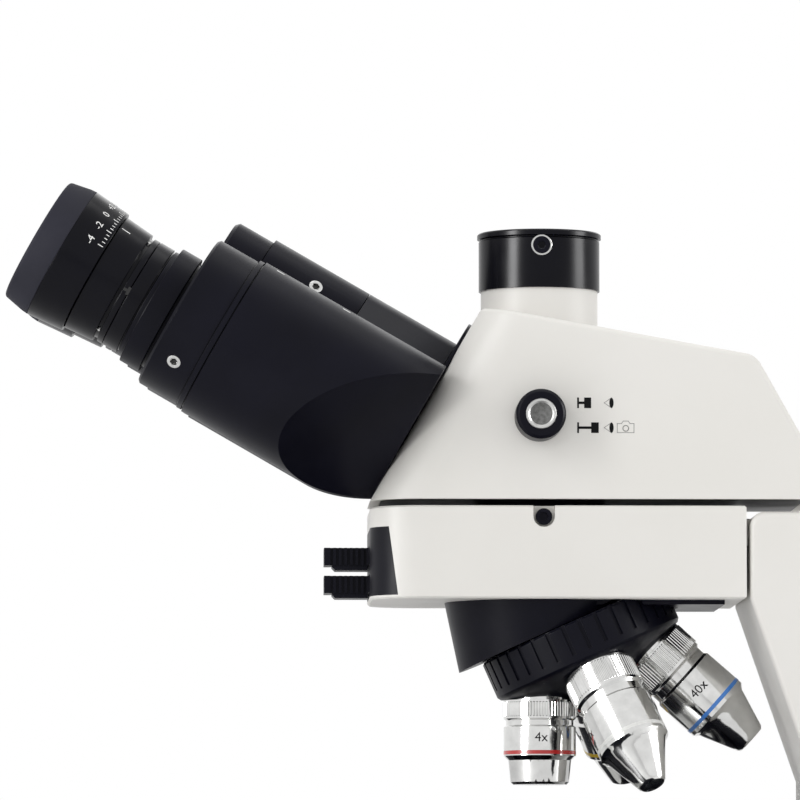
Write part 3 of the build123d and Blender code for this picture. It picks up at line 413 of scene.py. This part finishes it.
def strip(piece, matrix, points, width, closed=False):
    """Thin printed line through points of the matrix's xy plane."""
    pairs = list(zip(points, points[1:] + points[:1])) if closed else list(zip(points, points[1:]))
    for (x0, y0), (x1, y1) in pairs:
        length = math.hypot(x1 - x0, y1 - y0)
        turn = Matrix.Rotation(math.atan2(y1 - y0, x1 - x0), 4, "Z")
        place = matrix @ Matrix.Translation((x0, y0, 0)) @ turn
        piece.slab(place, -width / 2, length + width / 2, -width / 2, width / 2, PRINT)


def ellipse(x, y, half_width, half_height, steps=24):
    """Points of an ellipse."""
    angles = [2 * math.pi * step / steps for step in range(steps)]
    return [(x + half_width * math.cos(a), y + half_height * math.sin(a)) for a in angles]


def rod_pictogram(piece, matrix, row, pulled):
    """The rod pushed in or pulled out: end plate, stem and knob."""
    half = 1.75 * MM
    knob_start = (15.5 if pulled else 13.2) * MM
    knob_end = (18.0 if pulled else 15.5) * MM
    piece.slab(matrix, 10.9 * MM, 11.5 * MM, row - half, row + half, PRINT)
    piece.slab(matrix, 11.4 * MM, knob_start + 0.1 * MM, row - 0.42 * MM, row + 0.42 * MM, PRINT)
    piece.slab(matrix, knob_start, knob_end, row - half, row + half, PRINT)


def eye_pictogram(dark, pale, matrix, row):
    """An eye seen from the side: two lids that meet behind a dark lens."""
    tip, lens_x, half = 19.8 * MM, 22.2 * MM, 1.7 * MM
    strip(pale, matrix, [(lens_x, row + half), (tip, row), (lens_x, row - half)], 0.22 * MM)
    dark.prism(matrix, ellipse(lens_x, row, 0.7 * MM, half), -PRINT, 1.3 * PRINT)


def camera_pictogram(pale, matrix, row):
    """Outline of a camera with its lens."""
    left, right = 24.1 * MM, 29.6 * MM
    low, high, bump = row - 1.6 * MM, row + 1.4 * MM, row + 2.2 * MM
    body = [(left, low), (right, low), (right, high), (28.3 * MM, high), (27.7 * MM, bump), (26.1 * MM, bump),
            (25.5 * MM, high), (left, high)]
    strip(pale, matrix, body, 0.24 * MM, closed=True)
    strip(pale, matrix, ellipse(26.9 * MM, row - 0.2 * MM, 0.95 * MM, 0.95 * MM, 16), 0.24 * MM, closed=True)


def head_print():
    """Two rows beside the knob: rod in for the eyes, rod out for the eyes and the camera."""
    face = on_side("head_housing", 0, ROD_Z)
    dark = Piece("light_path_marks", "head", black_print)
    pale = Piece("light_path_outlines", "head", grey_print)
    upper, lower = 4.7 * MM, -3.5 * MM
    for row, pulled in ((upper, False), (lower, True)):
        rod_pictogram(dark, face, row, pulled)
        eye_pictogram(dark, pale, face, row)
    camera_pictogram(pale, face, lower)
    dark.done(flat=True)
    pale.done(flat=True)


def splitter_trim():
    """Bright ring and dished disc in the end of the splitter's knob."""
    low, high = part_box("splitter_knob")
    centre = ((low.x + high.x) / 2, low.y, (low.z + high.z) / 2)
    face = frame_at(centre, USER_RIGHT, FORWARD)
    ring = Piece("splitter_ring", "splitter", steel, "steel")
    section = in_mm([(3.7, -1.0), (5.0, -1.0), (5.0, 0.1), (4.8, 0.35), (4.2, 0.35), (3.7, -0.1)])
    ring.lathe(face, section, 64)
    ring.done()
    disc = Piece("splitter_disc", "splitter", steel_dark, "steel")
    disc.lathe(face, in_mm([(0.0, -0.45), (1.9, -0.4), (3.75, -0.15), (3.75, -1.0), (0.0, -1.0)]), 48)
    disc.done()


def port_trim():
    """Bright rim of the port's lock screw."""
    low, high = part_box("port_lock_screw")
    face = frame_at(((low.x + high.x) / 2, low.y, (low.z + high.z) / 2), USER_RIGHT, FORWARD)
    radius = (high.x - low.x) / 2
    rim = Piece("port_screw_rim", "head", steel, "steel")
    rim.lathe(face, ring_profile(radius - 0.5 * MM, radius + 0.05 * MM, -0.6 * MM, 0.12 * MM, 0.08 * MM), 64)
    rim.done()


# Tubes and eyepieces

def eyepiece_scale(side):
    """White divisions and figures round the ring that focuses the eyepiece."""
    body = side + "_diopter"
    high = local_box(side + "_diopter_ring", eyes[side])[1]
    lean = math.atan2(1.1 * MM, high.z)
    marks = Piece(side + "_diopter_marks", body, white_print)
    first = math.radians(18)
    step = math.radians(4.0)
    divisions = 16

    def place(angle, height):
        return turned(eyes[side], angle, high.x - 1.1 * MM * (1 - height / high.z), height, lean)

    for division in range(divisions + 1):
        long = division % 4 == 0
        length = (1.9 if long else 1.1) * MM
        marks.slab(place(first + division * step, 0.9 * MM), -0.14 * MM, 0.14 * MM, 0.0, length, PRINT)
        if long:
            value = (division - divisions // 2) // 2
            words = f"{value:+d}" if value else "0"
            marks.text(place(first + division * step, 5.6 * MM), words, 3.5 * MM, PRINT)
    marks.done(flat=True)


def eyepiece_trim(side):
    """Bright screws in the waist, a painted-shade mark for the notch in the lower ring, and the index line on the
    barrel.
    """
    body = side + "_tube"
    waist = -10.95 * MM
    pins = Piece(side + "_waist_screws", body, steel, "steel")
    for degrees in (60, 180, 300):
        place = turned(eyes[side], math.radians(degrees), 18.4 * MM, waist)
        pins.lathe(place, in_mm([(0.0, -1.0), (0.62, -1.0), (0.62, 0.5), (0.45, 0.8), (0.0, 0.8)]), 20)
    pins.done()
    # Painted shade: a flat near-black T-shaped mark stands in for the shade inside the lower ring's notch.
    notch = Piece(side + "_ring_notch", body, painted_hole_shade)
    place = turned(eyes[side], math.radians(-4), 19.3 * MM, -13.0 * MM)
    notch.slab(place, -0.5 * MM, 0.5 * MM, -0.1 * MM, 1.3 * MM, PRINT)
    notch.slab(place, -1.4 * MM, 1.4 * MM, -1.0 * MM, 0.0, PRINT)
    notch.done(flat=True)
    index = Piece(side + "_diopter_index", body, white_print)
    index.slab(turned(eyes[side], math.radians(50), 20.62 * MM, -2.6 * MM, math.atan2(0.8, 10)),
               -0.2 * MM, 0.2 * MM, -1.6 * MM, 1.6 * MM, PRINT)
    index.done(flat=True)


def socket_shades():
    """Painted shade: a dark hexagon on the floor of each grub screw's socket."""
    for side, sign in (("right", 1), ("left", -1)):
        arm = arm_frame(side)
        back = arm.inverted()
        places = [back @ vertex.co for vertex in nodes[side + "_grub_screws"].data.vertices]
        outer = [place for place in places if sign * place.x > 50 * MM]
        shades = Piece(side + "_socket_shades", side + "_tube", painted_hole_shade)
        middle_y = (min(p.y for p in outer) + max(p.y for p in outer)) / 2
        middle_z = (min(p.z for p in outer) + max(p.z for p in outer)) / 2
        face = sign * max(sign * p.x for p in outer)
        hexagon(shades, arm @ frame_at((face, middle_y, middle_z), (sign, 0, 0), (0, 1, 0)))
        inner = [place for place in places if sign * place.x <= 50 * MM]
        if inner:
            middle_y = (min(p.y for p in inner) + max(p.y for p in inner)) / 2
            middle_z = (min(p.z for p in inner) + max(p.z for p in inner)) / 2
            face = max(p.x for p in inner)
            hexagon(shades, arm @ frame_at((face, middle_y, middle_z), (1, 0, 0), (0, 1, 0)))
        shades.done(flat=True)


def hexagon(piece, matrix):
    """Thin six-sided plate of painted shade just above a socket's floor."""
    corners = [math.radians(60 * corner) for corner in range(6)]
    outline = [(1.05 * MM * math.cos(angle), 1.05 * MM * math.sin(angle)) for angle in corners]
    piece.prism(matrix, outline, -1.3 * MM, -0.6 * MM)


def arm_frame(side):
    """Frame of one tube on the hinge's axis, x along its arm towards the user's right."""
    sign = 1 if side == "right" else -1
    reach = hinge.inverted() @ eyes[side].translation
    return hinge @ Matrix.Rotation(math.atan2(sign * reach.y, sign * reach.x), 4, "Z")


def distance_scale():
    """Eye distance figures on the end of the hinge, and the white marks on the right tube."""
    high = local_box("ipd_dial", hinge)[1]
    face = hinge @ Matrix.Translation((0, 0, high.z))
    marks = Piece("eye_distance_scale", "head", white_print)
    values = [55, 60, 65, 70, 75]
    ticks = 4 * 5
    sweep = math.radians(130)
    for tick in range(ticks + 1):
        angle = math.radians(90) + sweep * (0.5 - tick / ticks)
        turn = face @ Matrix.Rotation(angle, 4, "Z")
        long = tick % 5 == 0
        inner = high.x - (3.2 if long else 2.4) * MM
        marks.slab(turn, inner, high.x - 1.5 * MM, -0.12 * MM, 0.12 * MM, PRINT)
        if long:
            upright = turn @ Matrix.Translation((high.x - 5.6 * MM, 0, 0))
            upright = upright @ Matrix.Rotation(-math.pi / 2, 4, "Z")
            marks.text(upright, str(values[tick // 5]), 2.6 * MM, PRINT)
    marks.done(flat=True)
    index = Piece("right_tube_marks", "right_tube", white_print)
    for station in (62.6, 37.6):
        index.slab(tube_top(station), -0.4 * MM, 0.4 * MM, -1.4 * MM, 1.4 * MM, PRINT)
    index.done(flat=True)


def tube_top(station):
    """Frame on the right tube near its highest line, y along the tube."""
    low, high = local_box("right_tube_cap", arm_frame("right"))
    radius = (high.y - low.y) / 2
    middle = arm_frame("right") @ Matrix.Translation((high.x - radius, low.y + radius, 0))
    return turned(middle, math.radians(112.5), radius + 0.4 * MM, station * MM)


# Nosepiece and objectives

SHOULDER_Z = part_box("objective_4x")[1].z - 4.5 * MM
OBJECTIVES = {
    "4x": (0, linear(205, 30, 28)),
    "10x": (1, linear(240, 200, 30)),
    "40x": (2, linear(60, 130, 215)),
    "100x": (3, linear(235, 235, 232)),
}


def seat(index):
    """Frame of an objective's shoulder, z along it: the working one first, then round the turret."""
    pivot = Matrix.Translation(turret_axis.translation)
    turn = Matrix.Rotation(math.radians(90 * index), 4, turret_axis.to_3x3() @ Vector((0, 0, 1)))
    return pivot @ turn @ pivot.inverted() @ frame_at((0, 0, SHOULDER_Z), (0, 0, -1), FORWARD)


def objective_trim(name, index, color):
    """Knurled ring, colour ring, figures and front lens of one objective."""
    node = "objective_" + name
    high = local_box(node, seat(index))[1]
    length, radius = high.z, high.x
    grip = Piece(name + "_grip", "nosepiece", chrome, "chrome")
    knurled(grip, seat(index), radius - 1.0 * MM, radius + 0.25 * MM, 0.6 * MM, 0.2 * length, 72, 0.3 * MM)
    grip.done()
    ring = Piece(name + "_color_ring", "nosepiece", enamel(name + "_ring", color))
    band = 0.60 * length
    section = ring_profile(radius - 1.0 * MM, radius + 0.06 * MM, band, band + 1.3 * MM, 0.06 * MM)
    ring.lathe(seat(index), section, 96)
    ring.done()
    figures = Piece(name + "_figures", "nosepiece", black_print)
    for half in (0, math.pi):
        place = turned(seat(index), half - math.pi / 2, radius, 0.45 * length)
        upright = place @ Matrix.Rotation(math.pi, 4, "Z")
        figures.text(upright, name, 4.4 * MM, PRINT)
    figures.done(flat=True)
    lens = Piece(name + "_front_lens", "nosepiece", lens_glass, "glass")
    tip = min(3.4 * MM, 0.35 * radius)
    lens.lathe(seat(index), [(0.0, length - 0.4 * MM), (tip, length - 0.4 * MM), (tip, length + 0.02 * MM),
                             (0.6 * tip, length + 0.08 * MM), (0.0, length + 0.1 * MM)], 48)
    lens.done()


# Stage, condenser and base

def stage_scales():
    """White ruler along y, near the stage plate's edge of highest x."""
    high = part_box("stage_plate")[1]
    plate_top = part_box("slide_holder")[0].z - 0.3 * MM
    ruler = Piece("stage_ruler", "stage_top", white_print)
    back = high.x - 3.4 * MM
    for tick in range(-60, 61):
        long = tick % 10 == 0
        middle = tick % 5 == 0
        length = (3.0 if long else 2.2 if middle else 1.5) * MM
        place = frame_at((back, tick * MM, plate_top), (0, 0, 1), (0, -1, 0))
        ruler.slab(place, -0.09 * MM, 0.09 * MM, -length, 0.0, PRINT)
    ruler.done(flat=True)


def knob_grip(name, node, body, axis, inset, teeth, depth, material=None, slot=None):
    """Knurled band round a knob, between two ends set in from its faces."""
    frame_here = frame_at(knob_middle(node), axis, (0, 0, 1) if abs(axis[2]) < 0.9 else FORWARD)
    low, high = local_box(node, frame_here)
    band = Piece(name, body, material or black_plastic, slot or "black_plastic")
    knurled(band, frame_here, high.x - 1.2 * MM, high.x + depth, low.z + inset, high.z - inset, teeth, depth)
    return band.done()


def knob_middle(node):
    """Middle of a CAD node."""
    low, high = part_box(node)
    return (low + high) / 2


def focus_grips():
    """Ribbed rubber on the coarse knobs and fine divisions on the fine ones."""
    low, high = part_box("coarse_knobs")
    flow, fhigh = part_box("fine_knobs")
    middle = knob_middle("coarse_knobs")
    for side, word in ((-1, "right"), (1, "left")):
        outer = high.y if side > 0 else -low.y
        width = 20 * MM
        frame_here = frame_at((middle.x, side * (outer - width), middle.z), (0, side, 0), (0, 0, 1))
        grip = Piece(word + "_coarse_grip", "coarse_drive", rubber, "rubber")
        knurled(grip, frame_here, high.x - middle.x - 1.2 * MM, high.x - middle.x + 0.5 * MM,
                3.0 * MM, width - 3.0 * MM, 60, 0.6 * MM)
        grip.done()
        fine_outer = fhigh.y if side > 0 else -flow.y
        fine_width = 14 * MM
        fine_frame = frame_at((middle.x, side * (fine_outer - fine_width), middle.z), (0, side, 0), (0, 0, 1))
        radius = fhigh.x - middle.x
        fine_grip = Piece(word + "_fine_grip", "fine_drive", black_plastic, "black_plastic")
        knurled(fine_grip, fine_frame, radius - 1.2 * MM, radius + 0.35 * MM, 5.5 * MM, fine_width - 2.0 * MM,
                72, 0.35 * MM)
        fine_grip.done()
        marks = Piece(word + "_fine_divisions", "fine_drive", white_print)
        for division in range(100):
            long = division % 10 == 0
            place = turned(fine_frame, 2 * math.pi * division / 100, radius, 0.8 * MM)
            marks.slab(place, -0.09 * MM, 0.09 * MM, 0.0, (2.2 if long else 1.3) * MM, PRINT)
        marks.done(flat=True)


def base_trim():
    """Signs of the switch, a wedge for the brightness and screws under the base."""
    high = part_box("power_switch")[1]
    middle = knob_middle("power_switch")
    marks = Piece("switch_marks", "power", white_print)
    for offset, words in ((5.5 * MM, "I"), (-5.5 * MM, "O")):
        place = frame_at((high.x - 0.55 * MM, middle.y, middle.z + offset), (1, 0, 0), (0, 1, 0))
        marks.text(place, words, 4.5 * MM, 0.25 * MM)
    marks.done(flat=True)

    knob = knob_middle("brightness_knob")
    face = on_side("base_casting", knob.x, knob.z)
    wedge = Piece("brightness_wedge", "stand", grey_print)
    inner, steps = 17.0 * MM, 30
    for step in range(steps):
        share = step / steps
        a0 = math.radians(225 - 270 * share)
        a1 = math.radians(225 - 270 * (step + 1) / steps)
        w0, w1 = (0.3 + 1.7 * share) * MM, (0.3 + 1.7 * (step + 1) / steps) * MM
        points = [(r * math.cos(a), r * math.sin(a)) for r, a in
                  ((inner, a0), (inner + w0, a0), (inner + w1, a1), (inner, a1))]
        wedge.prism(face, points, -PRINT, PRINT)
    wedge.done(flat=True)
    pointer = Piece("brightness_pointer", "brightness", white_print)
    end = frame_at((knob.x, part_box("brightness_knob")[0].y, knob.z), USER_RIGHT, FORWARD)
    turn = end @ Matrix.Rotation(math.radians(225), 4, "Z")
    pointer.slab(turn, 5.0 * MM, 9.4 * MM, -0.5 * MM, 0.5 * MM, PRINT)
    pointer.done(flat=True)

    plate_low, plate_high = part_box("base_plate")
    screws = Piece("base_screws", "stand", steel, "steel")
    for x in (plate_low.x + 22 * MM, 0.0, plate_high.x - 22 * MM):
        for side in (-1, 1):
            y = side * (plate_high.y - (30 if x else 12) * MM)
            head = frame_at((x, y, plate_low.z), (0, 0, -1), FORWARD)
            screw_head(screws, head, 3.2 * MM)
    screws.done()


def screw_head(piece, matrix, radius):
    """Low round head with a round recess in it."""
    shape = [(0, -0.06), (1, -0.06), (1, 0.25), (0.75, 0.5), (0.35, 0.55), (0.3, 0.2), (0, 0.2)]
    piece.lathe(matrix, [(radius * r, radius * z) for r, z in shape], 32)


steel_dark = Surface("steel_dark", (0.16, 0.16, 0.158, 1.0), (0.35, 0.5), metallic=1.0)
steel_dark = steel_dark.vary_color((0.09, 0.09, 0.088, 1.0), 900.0).grain(1500.0, 0.00003).material

head_print()
splitter_trim()
port_trim()
for side in ("right", "left"):
    eyepiece_scale(side)
    eyepiece_trim(side)
socket_shades()
distance_scale()
for name, (index, color) in OBJECTIVES.items():
    objective_trim(name, index, color)
stage_scales()
focus_grips()
knob_grip("upper_stage_grip", "stage_knob_upper", "holder_drive", (0, 0, 1), 1.6 * MM, 48, 0.35 * MM)
knob_grip("lower_stage_grip", "stage_knob_lower", "stage_drive", (0, 0, 1), 1.6 * MM, 40, 0.35 * MM)
knob_grip("condenser_grip", "condenser_knob", "condenser_drive", (0, 1, 0), 1.8 * MM, 36, 0.3 * MM)
base_trim()

# Camera at the photograph's viewing angle

AIM = Vector((-46.5, 0.0, 346.2)) * MM
DISTANCE = 2.4
AZIMUTH = math.radians(-1.5)
ELEVATION = math.radians(-4.4)
LENS = 323.6


def make_camera():
    """Long lens that looks at the user's right side from a little below the head."""
    data = bpy.data.cameras.new("camera")
    data.lens = LENS
    data.sensor_width = 36.0
    data.clip_start = 0.1
    data.clip_end = 100.0
    camera = bpy.data.objects.new("camera", data)
    back = Vector((
        math.sin(AZIMUTH) * math.cos(ELEVATION),
        -math.cos(AZIMUTH) * math.cos(ELEVATION),
        math.sin(ELEVATION),
    ))
    camera.location = AIM + back * DISTANCE
    camera.rotation_mode = "QUATERNION"
    camera.rotation_quaternion = (-back).to_track_quat("-Z", "Y")
    bpy.context.scene.collection.objects.link(camera)
    bpy.context.scene.camera = camera


# Light, floor and world

def area_light(name, place, size, power, shine_only=False):
    """Soft box that faces the middle of the object, or a strip that shows in reflections alone."""
    data = bpy.data.lights.new(name, "AREA")
    data.shape = "RECTANGLE"
    data.size, data.size_y = size
    data.energy = power
    lamp = bpy.data.objects.new(name, data)
    lamp.location = place
    way = Vector((0.0, 0.0, 0.25)) - Vector(place)
    lamp.rotation_mode = "QUATERNION"
    lamp.rotation_quaternion = way.to_track_quat("-Z", "Y")
    lamp.visible_diffuse = not shine_only
    bpy.context.scene.collection.objects.link(lamp)


def make_studio():
    """Pale floor, white surroundings and soft boxes."""
    world = bpy.data.worlds.new("studio")
    bpy.context.scene.world = world
    world.use_nodes = True
    tree = world.node_tree
    tree.nodes.clear()
    rays = tree.nodes.new("ShaderNodeLightPath")
    first = tree.nodes.new("ShaderNodeMath")
    first.operation = "MAXIMUM"
    second = tree.nodes.new("ShaderNodeMath")
    second.operation = "MAXIMUM"
    strength = tree.nodes.new("ShaderNodeMapRange")
    strength.inputs["To Min"].default_value = 0.8
    strength.inputs["To Max"].default_value = 1.0
    background = tree.nodes.new("ShaderNodeBackground")
    background.inputs["Color"].default_value = (1.0, 1.0, 1.0, 1.0)
    output = tree.nodes.new("ShaderNodeOutputWorld")
    tree.links.new(rays.outputs["Is Camera Ray"], first.inputs[0])
    tree.links.new(rays.outputs["Is Glossy Ray"], first.inputs[1])
    tree.links.new(first.outputs["Value"], second.inputs[0])
    tree.links.new(rays.outputs["Is Transmission Ray"], second.inputs[1])
    tree.links.new(second.outputs["Value"], strength.inputs["Value"])
    tree.links.new(strength.outputs["Result"], background.inputs["Strength"])
    tree.links.new(background.outputs["Background"], output.inputs["Surface"])

    area_light("key", (-1.9, -1.65, 1.15), (0.65, 2.0), 19.0)
    area_light("fill", (2.3, -1.0, 1.0), (0.45, 1.8), 7.5)
    area_light("top", (0.1, 0.2, 2.2), (1.6, 1.6), 8.0)
    area_light("back", (0.4, 2.2, 1.4), (1.8, 1.2), 5.0)
    area_light("left_strip", (-2.05, -1.5, 0.9), (0.75, 1.6), 105.0, True)
    area_light("right_strip", (2.4, -0.4, 0.9), (0.9, 1.6), 66.0, True)

    data = bpy.data.meshes.new("floor")
    half = 20.0
    corners = [(-half, -half, 0), (half, -half, 0), (half, half, 0), (-half, half, 0)]
    data.from_pydata(corners, [], [(0, 1, 2, 3)])
    floor = bpy.data.objects.new("floor", data)
    surface = Surface("floor", linear(236, 236, 236), (0.6, 0.7)).vary_color(linear(233, 233, 233), 2.0)
    data.materials.append(surface.grain(200.0, 0.00002).material)
    bpy.context.scene.collection.objects.link(floor)


make_camera()
make_studio()
bpy.context.scene.view_settings.view_transform = "Standard"
